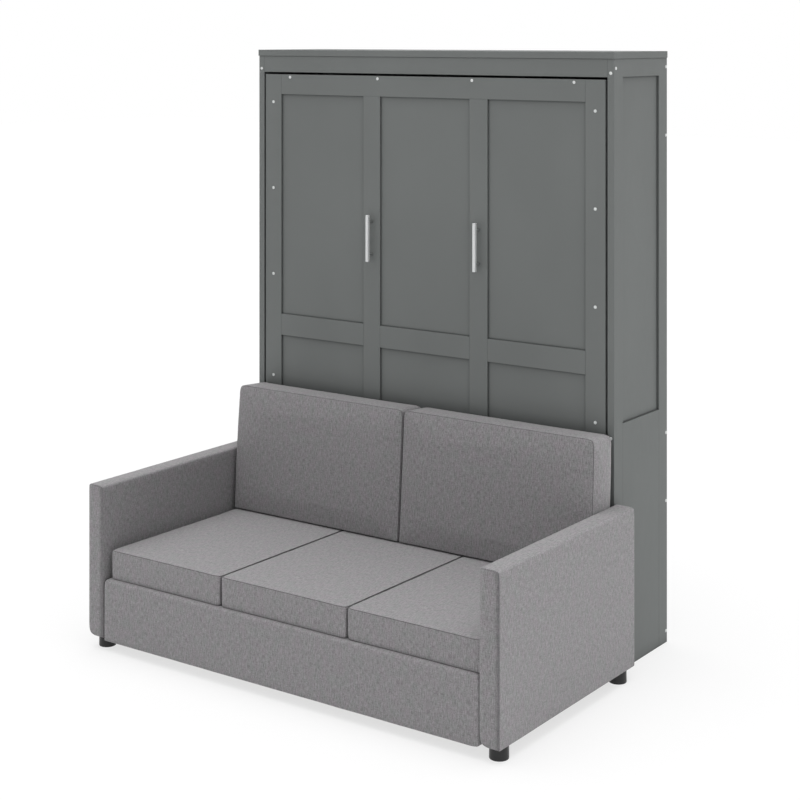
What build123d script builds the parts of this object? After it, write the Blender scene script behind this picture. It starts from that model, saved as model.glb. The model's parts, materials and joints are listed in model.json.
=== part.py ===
from build123d import *
import os
from math import atan2, cos, degrees, radians, sin, sqrt

# Wall bed with a sofa in front of it, in millimetres.
# +X is the right-hand side as you face it, +Y goes back to the wall, +Z is up.
# The pieces are drawn with Y = 0 on the cabinet's front and are moved at the end,
# so that the origin lies on the floor in the middle of the whole footprint.

# Cabinet. Its width and height follow from the mattress that it holds.
cabinet_depth = 417.5
cap_thickness = 25.0
cap_side_overhang = 2.5
cap_front_overhang = 2.6
side_thickness = 27.0
side_stile_width = 66.0
side_recess_depth = 9.0
side_board_height = 890.0
header_height = 66.5
header_thickness = 18.0
back_panel_thickness = 5.0
back_rail_thickness = 18.0
back_top_rail_height = 110.0
back_middle_rail_height = 90.0
back_middle_rail_drop = 1041.0
back_bottom_rail_height = 150.0
kick_board_thickness = 18.0
kick_board_height = 184.0
kick_gap = 8.5
seam_chamfer = 0.6

# Wall fixing holes in the back top rail
wall_hole_radius = 3.5
wall_hole_spacing_across = 1219.2
wall_hole_spacing_up = 60.0

# Bed front, the panelled face that closes the cabinet
front_side_gap = 8.6
front_top_gap = 9.0
platform_thickness = 18.0
strip_thickness = 8.0
stile_width = 82.5
mullion_width = 81.0
top_rail_height = 81.5
bottom_rail_height = 82.0
mid_rail_height = 86.3
mid_rail_drop = 984.5

# Mattress and bed box
mattress_width = 1524.0
mattress_length = 1905.0
mattress_thickness = 150.0
mattress_edge_radius = 24.0
mattress_clearance = 1.0
soft_gap = 0.3
bed_rail_thickness = 18.0
bed_rail_depth = 100.0
mechanism_gap = 23.0
strap_width = 50.0
strap_thickness = 2.0
strap_clearance = 0.3
strap_height_shares = (0.36, 0.74)
buckle_width = 74.0
buckle_height = 58.0
buckle_thickness = 7.0

# Bar handles
handle_length = 184.0
handle_bar_size = 12.0
handle_standoff = 21.5
handle_edge_radius = 1.6
handle_post_radius = 4.0
handle_post_spacing = 128.0
handle_centre_drop = 640.7

# Screw covers
cover_radius = 6.2
cover_height = 1.6
cover_edge_radius = 0.9
top_cover_drop = 11.3
top_cover_places = (222.2, 666.4)
stile_cover_drops = (113.8, 468.0, 822.3, 1239.7)
edge_cover_drop = 51.9
edge_cover_height = 846.2
side_front_cover_inset = 13.9
side_rear_cover_inset = 8.8
side_cover_drops = (34.3, 292.6)
side_cover_heights = (793.7, 536.1, 44.3)

# Sofa
arm_cabinet_gap = 6.6
arm_thickness = 70.7
arm_front = 892.8
arm_rear_overlap = 11.6
arm_bottom = 46.7
arm_top = 612.6
arm_top_radius = 15.0
arm_bottom_radius = 30.0
arm_front_edge_radius = 8.0
arm_rear_edge_radius = 13.0
cover_wall = 14.0
core_lift = 10.0
base_front = 891.7
base_bottom = 38.0
base_top = 273.0
base_depth = 55.0
base_corner_radius = 24.0
base_edge_radius = 10.0
base_end_gap = 0.5
foot_radius = 32.4
foot_top_radius = 31.8
foot_edge_radius = 3.0
foot_front_inset = 58.2
foot_rear_inset = 58.1
foot_stud_radius = 12.0
deck_thickness = 18.0
deck_rail_thickness = 22.0
deck_rail_height = 65.0
deck_rear_inset = 12.0
centre_leg_radius = 25.0

# Seat cushions
seat_front = 877.2
seat_rear_inset = 6.0
seat_edge_height = 379.0
seat_crown = 4.0
seat_left_gap = 24.2
seat_right_gap = 0.6
seat_joint_gap = 1.6
seat_joint_shares = (-0.1618, 0.1735)
seat_edge_radius = 11.0
seat_corner_radius = 15.0
seat_side_pull = 2.5

# A crown is lofted through rings: how far in each one lies, and how far it drops
crown_ring_shares = ((0.75, 0.02), (0.45, 0.2), (0.2, 0.55))
edge_turns_deg = (0, 30, 60, 90)

# Back cushions
back_cushion_left_gap = 22.6
back_cushion_right_gap = 13.4
back_cushion_joint_gap = 3.0
back_cushion_height = 486.0
back_cushion_thickness = 146.0
back_cushion_front = 182.0
back_cushion_lean_deg = 4.0
back_cushion_crown = 8.0
back_cushion_rear_crown = 3.0
back_cushion_edge_radius = 15.0
back_cushion_corner_radius = 24.0
back_cushion_side_pull = 3.0

# Turning parts of the bed
fold_clearance = 4.0
pivot_inset = 24.0
pivot_pin_radius = 7.0
running_clearance = 0.05
side_plate_thickness = 3.0
side_plate_margin = 22.0
side_plate_front = 8.0
bracket_plate_thickness = 3.5
bracket_plate_gap = 0.6
bracket_radius = 16.0
bracket_half_height = 24.0
bracket_block_front = 30.0
bracket_block_rear = 58.0
pin_stand_proud = 0.4

# Telescopic lift struts
strut_crank = 290.0
strut_bed_angle_deg = -78.0
strut_cabinet_angle_deg = 80.0
strut_tube_radius = 7.5
strut_tube_bore = 6.0
strut_end_wall = 3.5
strut_gland_length = 10.0
strut_tube_length = 290.0
strut_rod_radius = 4.0
strut_rod_length = 302.0
strut_piston_length = 8.0
strut_piston_clearance = 0.1
strut_eye_radius = 10.0
strut_eye_width = 11.0
strut_neck_radius = 4.5
strut_neck_length = 18.0
strut_side_gap = 5.0
stud_radius = 4.0
stud_head_radius = 6.5
stud_head_thickness = 1.5
stud_head_gap = 0.4

# Swing legs at the foot end
leg_width = 40.0
leg_thickness = 6.0
leg_top_inset = 70.0
leg_rail_inset = 50.0
leg_foot_width = 56.0
leg_foot_height = 12.0
leg_floor_gap = 0.3
leg_side_gap = 0.8
leg_pin_radius = 6.0
leg_bush_radius = 14.0

# One overrun for every cut
overrun = 5.0

# Places worked out from the sizes above
rail_inner = mattress_width / 2 + mattress_clearance
rail_outer = rail_inner + bed_rail_thickness
bed_length = mattress_length + 2 * mattress_clearance + 2 * bed_rail_thickness
inner_half = rail_outer + mechanism_gap
half_width = inner_half + side_thickness
front_half = inner_half - front_side_gap
front_bottom = kick_board_height + kick_gap
front_top = front_bottom + bed_length
header_bottom = front_top + front_top_gap
side_height = header_bottom + header_height
cabinet_height = side_height + cap_thickness
platform_front = strip_thickness
platform_rear = platform_front + platform_thickness
bed_rail_rear = platform_rear + bed_rail_depth
back_face = cabinet_depth - back_panel_thickness
arm_inner = half_width + arm_cabinet_gap
arm_outer = arm_inner + arm_thickness
seat_peak = seat_edge_height + seat_crown
cushion_rest = seat_peak + soft_gap
pivot_height = cushion_rest + back_cushion_thickness + fold_clearance + pivot_inset
origin_shift = (arm_front - cabinet_depth) / 2
plate_inner = inner_half - side_plate_thickness
bracket_outer = plate_inner - bracket_plate_gap
bracket_inner = bracket_outer - bracket_plate_thickness
strut_centre = rail_outer + strut_side_gap + strut_eye_width / 2
leg_outer = inner_half - leg_side_gap
leg_inner = leg_outer - leg_thickness
leg_pin_y = platform_rear + leg_rail_inset
leg_pin_z = front_top - leg_top_inset


def block(x0, x1, y0, y1, z0, z1):
    """A box between two corners."""
    size = Box(x1 - x0, y1 - y0, z1 - z0)
    return Pos((x0 + x1) / 2, (y0 + y1) / 2, (z0 + z1) / 2) * size


def rod_across(radius, x0, x1, y, z):
    """A cylinder along X between x0 and x1."""
    return Pos((x0 + x1) / 2, y, z) * (Rot(0, 90, 0) * Cylinder(radius, x1 - x0))


def mirrored(solid):
    """The same piece on the left-hand side."""
    return solid.mirror(Plane.YZ)


def group(solids):
    """Separate solids that share one node."""
    return Compound(list(solids))


def eased(solid, face):
    """Chamfer round one face, so that a fine seam shows beside it."""
    return chamfer(face.edges(), seam_chamfer)


def front_piece(x0, x1, z0, z1):
    """A strip on the bed front, eased round its face."""
    strip = block(x0, x1, 0, strip_thickness, z0, z1)
    return eased(strip, strip.faces().sort_by(Axis.Y)[0])


# Cabinet pieces

def make_cap():
    return block(-half_width - cap_side_overhang, half_width + cap_side_overhang,
                 -cap_front_overhang, cabinet_depth, side_height, cabinet_height)


def make_side_frame():
    """Front stile, rear stile and top rail of the right-hand side, as one frame."""
    frame = block(inner_half, half_width, 0, cabinet_depth, 0, side_height)
    window = block(inner_half - overrun, half_width + overrun, side_stile_width,
                   cabinet_depth - side_stile_width, -overrun, header_bottom)
    return frame - window


def make_side_inset():
    return block(inner_half, half_width - side_recess_depth, side_stile_width,
                 cabinet_depth - side_stile_width, side_board_height, header_bottom)


def make_side_board():
    board = block(inner_half, half_width, side_stile_width,
                  cabinet_depth - side_stile_width, 0, side_board_height)
    return eased(board, board.faces().sort_by(Axis.X)[-1])


def wall_holes():
    """Cutters for the four wall screws."""
    middle = side_height - back_top_rail_height / 2
    depth = back_rail_thickness + back_panel_thickness
    cutters = []
    for across in (-wall_hole_spacing_across / 2, wall_hole_spacing_across / 2):
        for up in (-wall_hole_spacing_up / 2, wall_hole_spacing_up / 2):
            cutter = Rot(90, 0, 0) * Cylinder(wall_hole_radius, depth + 2 * overrun)
            cutters.append(Pos(across, cabinet_depth - depth / 2, middle + up) * cutter)
    return cutters


def make_back_panel():
    panel = block(-inner_half, inner_half, back_face, cabinet_depth, 0, side_height)
    return panel - wall_holes()


def back_rail(bottom, height):
    return block(-inner_half, inner_half, back_face - back_rail_thickness, back_face,
                 bottom, bottom + height)


def make_back_top_rail():
    return back_rail(side_height - back_top_rail_height, back_top_rail_height) - wall_holes()


def make_side_plate(strut_y, strut_z):
    """Steel plate on the cabinet side, with the bed's pivot pin and the strut stud."""
    plate = block(plate_inner, inner_half, side_plate_front, strut_y + side_plate_margin,
                  pivot_height - side_plate_margin, strut_z + side_plate_margin)
    pin = rod_across(pivot_pin_radius, bracket_inner - pin_stand_proud, plate_inner,
                     pivot_inset, pivot_height)
    eye_inner = strut_centre - strut_eye_width / 2 - stud_head_gap
    stud = rod_across(stud_radius, eye_inner, plate_inner, strut_y, strut_z)
    head = rod_across(stud_head_radius, eye_inner - stud_head_thickness, eye_inner,
                      strut_y, strut_z)
    return plate + pin + stud + head


def screw_cover():
    """A low round cover, standing on Z = 0."""
    disc = Pos(0, 0, cover_height / 2) * Cylinder(cover_radius, cover_height)
    return fillet(disc.faces().sort_by(Axis.Z)[-1].edges(), cover_edge_radius)


def front_cover(x, z):
    return Pos(x, 0, z) * (Rot(90, 0, 0) * screw_cover())


def make_cabinet_covers():
    covers = []
    for z in (side_height - edge_cover_drop, edge_cover_height):
        covers.append(front_cover(half_width - side_thickness / 2, z))
    high = [side_height - drop for drop in side_cover_drops]
    places = [(side_front_cover_inset, high[0])]
    for z in (*high, *side_cover_heights):
        places.append((cabinet_depth - side_rear_cover_inset, z))
    for y, z in places:
        covers.append(Pos(half_width, y, z) * (Rot(0, 90, 0) * screw_cover()))
    covers += [mirrored(cover) for cover in covers]
    return group(covers)


# Bed pieces

def make_platform():
    return block(-front_half, front_half, platform_front, platform_rear, front_bottom, front_top)


def front_strips():
    """Stiles, rails and mullions of the bed front."""
    inner = front_half - stile_width
    panel_width = (2 * inner - 2 * mullion_width) / 3
    mullion_in = panel_width / 2
    mullion_out = mullion_in + mullion_width
    low = front_bottom + bottom_rail_height
    high = front_top - top_rail_height
    mid_top = front_top - mid_rail_drop
    strips = {
        "front_left_stile": front_piece(-front_half, -inner, front_bottom, front_top),
        "front_right_stile": front_piece(inner, front_half, front_bottom, front_top),
        "front_top_rail": front_piece(-inner, inner, high, front_top),
        "front_bottom_rail": front_piece(-inner, inner, front_bottom, low),
        "front_left_mullion": front_piece(-mullion_out, -mullion_in, low, high),
        "front_right_mullion": front_piece(mullion_in, mullion_out, low, high),
    }
    spans = [(-inner, -mullion_out), (-mullion_in, mullion_in), (mullion_out, inner)]
    middle = [front_piece(x0, x1, mid_top - mid_rail_height, mid_top) for x0, x1 in spans]
    strips["front_mid_rails"] = group(middle)
    return strips, (mullion_in + mullion_out) / 2


def make_bed_side_rail():
    return block(rail_inner, rail_outer, platform_rear, bed_rail_rear, front_bottom, front_top)


def bed_end_board(bottom):
    return block(-rail_inner, rail_inner, platform_rear, bed_rail_rear,
                 bottom, bottom + bed_rail_thickness)


def make_mattress():
    bottom = front_bottom + bed_rail_thickness + mattress_clearance
    front = platform_rear + soft_gap
    pad = block(-mattress_width / 2, mattress_width / 2, front, front + mattress_thickness,
                bottom, bottom + mattress_length)
    pad = fillet(pad.edges().filter_by(Axis.Y), mattress_edge_radius)
    ends = pad.faces().filter_by(Axis.Y)
    return fillet(ends.edges(), mattress_edge_radius / 2)


def strap_heights():
    return [front_bottom + share * bed_length for share in strap_height_shares]


def make_straps():
    """Webbing over the mattress, down to the rear edges of the side rails."""
    top = platform_rear + soft_gap + mattress_thickness + strap_clearance
    drop = mattress_width / 2 + strap_clearance
    straps = []
    for z in strap_heights():
        low, high = z - strap_width / 2, z + strap_width / 2
        strap = block(-drop - strap_thickness, drop + strap_thickness,
                      top, top + strap_thickness, low, high)
        for side in (-1, 1):
            near, far = sorted((side * drop, side * (drop + strap_thickness)))
            strap += block(near, far, bed_rail_rear, top, low, high)
            near, far = sorted((side * drop, side * rail_outer))
            strap += block(near, far, bed_rail_rear, bed_rail_rear + strap_thickness, low, high)
        straps.append(strap)
    return group(straps)


def make_buckles():
    seat = (platform_rear + soft_gap + mattress_thickness + strap_clearance + strap_thickness)
    buckles = []
    for z in strap_heights():
        buckle = block(-buckle_width / 2, buckle_width / 2, seat, seat + buckle_thickness,
                       z - buckle_height / 2, z + buckle_height / 2)
        buckles.append(fillet(buckle.edges().filter_by(Axis.Y), buckle_thickness / 2))
    return group(buckles)


def make_handle(x):
    """Square bar on two posts."""
    half = handle_bar_size / 2
    middle = front_top - handle_centre_drop
    bar = block(x - half, x + half, -handle_standoff - handle_bar_size, -handle_standoff,
                middle - handle_length / 2, middle + handle_length / 2)
    bar = fillet(bar.edges(), handle_edge_radius)
    for up in (-handle_post_spacing / 2, handle_post_spacing / 2):
        post = Rot(90, 0, 0) * Cylinder(handle_post_radius, handle_standoff + half)
        bar += Pos(x, -(handle_standoff + half) / 2, middle + up) * post
    return bar


def make_front_covers():
    covers = []
    for x in top_cover_places:
        covers.append(front_cover(x, front_top - top_cover_drop))
    for drop in stile_cover_drops:
        covers.append(front_cover(front_half - stile_width / 2, front_top - drop))
    covers += [mirrored(cover) for cover in covers]
    return group(covers)


def make_hinge_bracket():
    """Steel bracket on the bed's side rail that turns on the cabinet's pivot pin."""
    low, high = pivot_height - bracket_half_height, pivot_height + bracket_half_height
    spacer = block(rail_outer, bracket_inner, bracket_block_front, bracket_block_rear, low, high)
    plate = block(bracket_inner, bracket_outer, pivot_inset, bracket_block_rear, low, high)
    plate += rod_across(bracket_radius, bracket_inner, bracket_outer, pivot_inset, pivot_height)
    bore = rod_across(pivot_pin_radius + running_clearance, bracket_inner - overrun,
                      bracket_outer + overrun, pivot_inset, pivot_height)
    return spacer + plate - bore


# Lift struts

def crank_point(angle_deg):
    """A strut end, on a circle round the bed's pivot."""
    angle = radians(angle_deg)
    return (pivot_inset + strut_crank * cos(angle), pivot_height + strut_crank * sin(angle))


def along_strut(solid, start, end):
    """Turn a piece drawn up Z from the origin to run from start towards end."""
    dy, dz = end[0] - start[0], end[1] - start[1]
    turn = Rot(degrees(atan2(-dy, dz)), 0, 0)
    return Pos(strut_centre, start[0], start[1]) * (turn * solid)


def strut_eye():
    """The eye at a strut's end, with the neck that joins it to the tube or rod."""
    eye = Rot(0, 90, 0) * Cylinder(strut_eye_radius, strut_eye_width)
    neck = Pos(0, 0, strut_neck_length / 2) * Cylinder(strut_neck_radius, strut_neck_length)
    bore = Rot(0, 90, 0) * Cylinder(stud_radius + running_clearance, strut_eye_width + 2 * overrun)
    return (eye + neck) - bore


def upright_rod(radius, low, high):
    """A cylinder along Z between two heights."""
    return Pos(0, 0, (low + high) / 2) * Cylinder(radius, high - low)


def make_strut_tube():
    tube = strut_eye() + upright_rod(strut_tube_radius, strut_neck_length, strut_tube_length)
    gland = strut_tube_length - strut_gland_length
    tube -= upright_rod(strut_tube_bore, strut_neck_length + strut_end_wall, gland)
    return tube - upright_rod(strut_rod_radius + running_clearance, gland,
                              strut_tube_length + overrun)


def make_strut_rod():
    rod = strut_eye() + upright_rod(strut_rod_radius, strut_neck_length, strut_rod_length)
    return rod + upright_rod(strut_tube_bore - strut_piston_clearance,
                             strut_rod_length - strut_piston_length, strut_rod_length)


def make_strut_studs(y, z):
    eye_outer = strut_centre + strut_eye_width / 2 + stud_head_gap
    stud = rod_across(stud_radius, rail_outer, eye_outer, y, z)
    stud += rod_across(stud_head_radius, eye_outer, eye_outer + stud_head_thickness, y, z)
    collar = strut_side_gap - stud_head_gap
    stud += rod_across(stud_head_radius, rail_outer, rail_outer + collar, y, z)
    return group([stud, mirrored(stud)])


# Swing legs

def make_leg():
    length = leg_pin_y - pivot_inset + pivot_height - leg_floor_gap
    foot = leg_pin_z - length
    bar = block(leg_inner, leg_outer, leg_pin_y - leg_width / 2, leg_pin_y + leg_width / 2,
                foot, leg_pin_z)
    bar += rod_across(leg_width / 2, leg_inner, leg_outer, leg_pin_y, leg_pin_z)
    bar += block(leg_inner, leg_outer, leg_pin_y - leg_foot_width / 2,
                 leg_pin_y + leg_foot_width / 2, foot, foot + leg_foot_height)
    return bar - rod_across(leg_pin_radius + running_clearance, leg_inner - overrun,
                            leg_outer + overrun, leg_pin_y, leg_pin_z)


def make_leg_pins():
    bush_end = leg_inner - stud_head_gap
    pin = rod_across(leg_bush_radius, rail_outer, bush_end, leg_pin_y, leg_pin_z)
    pin += rod_across(leg_pin_radius, bush_end, leg_outer, leg_pin_y, leg_pin_z)
    return group([pin, mirrored(pin)])


# Sofa pieces

def make_arm_cover(is_right):
    """Padded fabric cover, as the right arm has it, open underneath. Two corners stay square."""
    outline = Rectangle(arm_thickness, arm_top - arm_bottom)
    lower = outline.vertices().sort_by(Axis.Y)[:2].sort_by(Axis.X)
    outline = fillet(lower[:1] if is_right else lower[-1:], arm_bottom_radius)
    upper = outline.vertices().sort_by(Axis.Y)[-2:].sort_by(Axis.X)
    outline = fillet(upper[-1:] if is_right else upper[:1], arm_top_radius)
    slab = Rot(90, 0, 0) * extrude(outline, arm_front + arm_rear_overlap)
    slab = Pos((arm_inner + arm_outer) / 2, arm_rear_overlap, (arm_top + arm_bottom) / 2) * slab
    slab = fillet(slab.faces().sort_by(Axis.Y)[0].edges(), arm_front_edge_radius)
    slab = fillet(slab.faces().sort_by(Axis.Y)[-1].edges(), arm_rear_edge_radius)
    return slab - arm_room(-overrun)


def arm_room(bottom_shift):
    """The room for the arm core, or the core itself."""
    return block(arm_inner + cover_wall, arm_outer - cover_wall, -arm_front + cover_wall,
                 arm_rear_overlap - cover_wall, arm_bottom + bottom_shift, arm_top - cover_wall)


def make_base_cover():
    """Padded fabric cover of the sofa's front, open at the rear."""
    half = arm_inner - base_end_gap
    outline = Rectangle(2 * half, base_top - base_bottom)
    upward = outline.vertices().sort_by(Axis.Y)
    rounded = [*upward[-2:], upward[:2].sort_by(Axis.X)[-1]]
    outline = fillet(rounded, base_corner_radius)
    middle = (base_top + base_bottom) / 2
    slab = Pos(0, -base_front + base_depth, middle) * (Rot(90, 0, 0) * extrude(outline, base_depth))
    front = slab.faces().sort_by(Axis.Y)[0]
    slab = fillet(front.edges(), base_edge_radius)
    return slab - base_room(overrun)


def base_room(rear_shift):
    """The room for the base's wooden rail, or the rail itself."""
    half = arm_inner - base_end_gap - cover_wall
    return block(-half, half, -base_front + cover_wall, -base_front + base_depth + rear_shift,
                 base_bottom + cover_wall, base_top - cover_wall)


def make_foot(x, y):
    """A round foot with a stud up to the arm core."""
    foot = Pos(0, 0, arm_bottom / 2) * Cone(foot_radius, foot_top_radius, arm_bottom)
    foot = fillet(foot.faces().sort_by(Axis.Z)[0].edges(), foot_edge_radius)
    stud = Pos(0, 0, arm_bottom + core_lift / 2) * Cylinder(foot_stud_radius, core_lift)
    return Pos(x, y, 0) * (foot + stud)


def make_feet():
    centre = arm_inner + foot_radius
    rows = (-arm_front + foot_front_inset, arm_rear_overlap - foot_rear_inset)
    return group([make_foot(side * centre, y) for y in rows for side in (-1, 1)])


def make_deck():
    return block(-arm_inner, arm_inner, -base_front + base_depth, -deck_rear_inset,
                 base_top - deck_thickness, base_top)


def make_deck_rails():
    """Two side rails that reach the cabinet, and a rear rail between them."""
    top = base_top - deck_thickness
    low = top - deck_rail_height
    side = block(arm_inner - deck_rail_thickness, arm_inner, -base_front + base_depth, 0, low, top)
    rear = block(-arm_inner + deck_rail_thickness, arm_inner - deck_rail_thickness,
                 -deck_rear_inset - deck_rail_thickness, -deck_rear_inset, low, top)
    return group([side, mirrored(side), rear])


def make_centre_leg():
    height = base_top - deck_thickness
    middle = (-base_front + base_depth - deck_rear_inset) / 2
    return Pos(0, middle, height / 2) * Cylinder(centre_leg_radius, height)


# Cushions

def cushion_ring(width, depth, corner, pull, z):
    """Cushion outline at one height: four drawn-in sides and four round corners."""
    x, y = width / 2, depth / 2
    cut = corner * (1 - sqrt(0.5))
    places = [
        ((-x + corner, -y), (0, -y + pull), (x - corner, -y)),
        ((x - corner, -y), (x - cut, -y + cut), (x, -y + corner)),
        ((x, -y + corner), (x - pull, 0), (x, y - corner)),
        ((x, y - corner), (x - cut, y - cut), (x - corner, y)),
        ((x - corner, y), (0, y - pull), (-x + corner, y)),
        ((-x + corner, y), (-x + cut, y - cut), (-x, y - corner)),
        ((-x, y - corner), (-x + pull, 0), (-x, -y + corner)),
        ((-x, -y + corner), (-x + cut, -y + cut), (-x + corner, -y)),
    ]
    arcs = [ThreePointArc(*[(px, py, z) for px, py in trio]) for trio in places]
    return make_face(Wire(arcs))


def cushion(width, depth, thickness, crowns, pull, corner, edge):
    """A padded block from Z = 0 up, with a crown on its lower and upper face."""
    low_crown, high_crown = crowns
    reach = min(width, depth) / 2 - edge - corner
    levels = []
    if low_crown:
        for inward, drop in crown_ring_shares:
            levels.append((edge + inward * reach, low_crown * drop))
    for turn in edge_turns_deg:
        rise = edge * (1 - cos(radians(turn)))
        levels.append((edge * (1 - sin(radians(turn))), low_crown + rise))
    for turn in reversed(edge_turns_deg):
        rise = edge * (1 - cos(radians(turn)))
        levels.append((edge * (1 - sin(radians(turn))), thickness - high_crown - rise))
    for inward, drop in reversed(crown_ring_shares):
        levels.append((edge + inward * reach, thickness - high_crown * drop))
    rings = []
    for inset, z in levels:
        round_corner = max(corner - inset / 2, corner / 4)
        rings.append(cushion_ring(width - 2 * inset, depth - 2 * inset, round_corner, pull, z))
    return loft(rings, ruled=True)


def make_seat_cushions():
    room = 2 * arm_inner
    joints = [share * room for share in seat_joint_shares]
    edges = [-arm_inner + seat_left_gap - seat_joint_gap / 2, *joints,
             arm_inner - seat_right_gap + seat_joint_gap / 2]
    bottom = base_top + soft_gap
    middle = (-seat_front - seat_rear_inset) / 2
    cushions = []
    for left, right in zip(edges, edges[1:]):
        pad = cushion(right - left - seat_joint_gap, seat_front - seat_rear_inset,
                      seat_peak - bottom, (0, seat_crown), seat_side_pull,
                      seat_corner_radius, seat_edge_radius)
        cushions.append(Pos((left + right) / 2, middle, bottom) * pad)
    return cushions


def make_back_cushions():
    """Drawn lying face down on the seat, then turned up about the front lower edge."""
    left_edge = back_cushion_left_gap - arm_inner
    right_edge = arm_inner - back_cushion_right_gap
    width = (right_edge - left_edge - back_cushion_joint_gap) / 2
    crowns = (back_cushion_crown, back_cushion_rear_crown)
    upright = Rot(-90 - back_cushion_lean_deg, 0, 0)
    cushions = []
    for left in (left_edge, right_edge - width):
        pad = cushion(width, back_cushion_height, back_cushion_thickness, crowns,
                      back_cushion_side_pull, back_cushion_corner_radius,
                      back_cushion_edge_radius)
        pad = Pos(left + width / 2, -back_cushion_height / 2, 0) * pad
        pad = Pos(0, -back_cushion_front, cushion_rest) * (upright * pad)
        below = block(left - overrun, left + width + overrun, -arm_front, cabinet_depth,
                      cushion_rest - back_cushion_thickness, cushion_rest)
        cushions.append(pad - below)
    return cushions


# All nodes, by name

def make_nodes():
    strut_low = crank_point(strut_bed_angle_deg)
    strut_high = crank_point(strut_cabinet_angle_deg)
    nodes = {
        "top_cap": make_cap(),
        "header_rail": block(-inner_half, inner_half, 0, header_thickness,
                             header_bottom, side_height),
        "kick_board": block(-inner_half, inner_half, 0, kick_board_thickness,
                            0, kick_board_height),
        "back_panel": make_back_panel(),
        "back_top_rail": make_back_top_rail(),
        "back_middle_rail": back_rail(side_height - back_middle_rail_drop - back_middle_rail_height,
                                      back_middle_rail_height),
        "back_bottom_rail": back_rail(0, back_bottom_rail_height),
        "cabinet_screw_covers": make_cabinet_covers(),
        "bed_platform": make_platform(),
        "bed_head_board": bed_end_board(front_bottom),
        "bed_foot_board": bed_end_board(front_top - bed_rail_thickness),
        "mattress": make_mattress(),
        "mattress_straps": make_straps(),
        "strap_buckles": make_buckles(),
        "front_screw_covers": make_front_covers(),
        "strut_studs": make_strut_studs(*strut_low),
        "leg_pivot_pins": make_leg_pins(),
        "sofa_base_cover": make_base_cover(),
        "sofa_base_rail": base_room(0),
        "sofa_feet": make_feet(),
        "seat_deck": make_deck(),
        "deck_rails": make_deck_rails(),
        "centre_support_leg": make_centre_leg(),
    }
    pairs = {
        "side_frame": make_side_frame(),
        "side_inset_panel": make_side_inset(),
        "side_lower_board": make_side_board(),
        "side_plate": make_side_plate(*strut_high),
        "hinge_bracket": make_hinge_bracket(),
        "bed_side_rail": make_bed_side_rail(),
        "strut_tube": along_strut(make_strut_tube(), strut_high, strut_low),
        "strut_rod": along_strut(make_strut_rod(), strut_low, strut_high),
        "swing_leg": make_leg(),
        "arm_core": arm_room(core_lift),
    }
    for name, solid in pairs.items():
        nodes["right_" + name] = solid
        nodes["left_" + name] = mirrored(solid)
    nodes["right_arm_cover"] = make_arm_cover(True)
    nodes["left_arm_cover"] = mirrored(make_arm_cover(False))
    strips, handle_x = front_strips()
    nodes.update(strips)
    nodes["left_handle"] = make_handle(-handle_x)
    nodes["right_handle"] = make_handle(handle_x)
    for place, pad in zip(("left", "middle", "right"), make_seat_cushions()):
        nodes["seat_cushion_" + place] = pad
    for place, pad in zip(("left", "right"), make_back_cushions()):
        nodes["back_cushion_" + place] = pad
    return nodes


os.makedirs("parts", exist_ok=True)
for name, solid in make_nodes().items():
    export_step(Pos(0, origin_shift, 0) * solid, f"parts/{name}.step")
    print("wrote", name)
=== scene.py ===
import json
from math import cos, radians, sin

import bmesh
import bpy
import numpy as np
from mathutils import Matrix, Vector, noise

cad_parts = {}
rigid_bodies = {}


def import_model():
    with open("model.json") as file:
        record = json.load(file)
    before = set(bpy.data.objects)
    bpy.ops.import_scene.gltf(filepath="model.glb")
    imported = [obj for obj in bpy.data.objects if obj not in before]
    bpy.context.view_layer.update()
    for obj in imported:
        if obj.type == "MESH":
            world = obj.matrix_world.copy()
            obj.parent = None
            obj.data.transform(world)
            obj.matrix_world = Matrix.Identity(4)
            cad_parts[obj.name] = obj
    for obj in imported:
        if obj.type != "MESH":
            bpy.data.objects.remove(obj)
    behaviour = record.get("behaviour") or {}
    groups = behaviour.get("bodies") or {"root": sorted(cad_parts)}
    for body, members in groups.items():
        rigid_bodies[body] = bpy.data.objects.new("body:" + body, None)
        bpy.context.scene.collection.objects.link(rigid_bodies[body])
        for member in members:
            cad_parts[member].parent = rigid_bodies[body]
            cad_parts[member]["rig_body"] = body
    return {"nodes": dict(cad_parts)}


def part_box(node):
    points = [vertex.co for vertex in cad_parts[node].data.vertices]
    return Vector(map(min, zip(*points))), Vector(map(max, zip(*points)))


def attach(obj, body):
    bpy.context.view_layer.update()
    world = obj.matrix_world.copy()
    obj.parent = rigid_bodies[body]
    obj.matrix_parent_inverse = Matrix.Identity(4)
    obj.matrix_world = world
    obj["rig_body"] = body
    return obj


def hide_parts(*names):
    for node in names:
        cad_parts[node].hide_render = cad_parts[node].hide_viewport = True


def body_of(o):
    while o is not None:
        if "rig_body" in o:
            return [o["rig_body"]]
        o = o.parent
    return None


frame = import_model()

scene = bpy.context.scene
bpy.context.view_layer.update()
nodes = frame["nodes"]
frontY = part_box("header_rail")[0].y
print("frame loaded")

touching = 0.00001  # points nearer to each other than this are one
onSeam = 0.0001  # points nearer to a seam than this are on it
noiseSpan = (0.3, 0.7)  # nearly all of a noise lies between these
noiseCore = (0.35, 0.65)  # most of it lies between these, which gives a stronger pattern


# A hex colour as linear red, green, blue and alpha
def linear(hexColour):
    parts = [int(hexColour[i:i + 2], 16) / 255 for i in (1, 3, 5)]
    return tuple(c / 12.92 if c <= 0.04045 else ((c + 0.055) / 1.055) ** 2.4 for c in parts) + (1.0,)


# Inputs are a list in the node's order, or a dictionary by name or number. A socket is linked to its input.
def feed(tree, node, inputs):
    for key, value in inputs.items() if isinstance(inputs, dict) else enumerate(inputs):
        if isinstance(value, bpy.types.NodeSocket):
            tree.links.new(value, node.inputs[key])
        else:
            node.inputs[key].default_value = value


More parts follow.
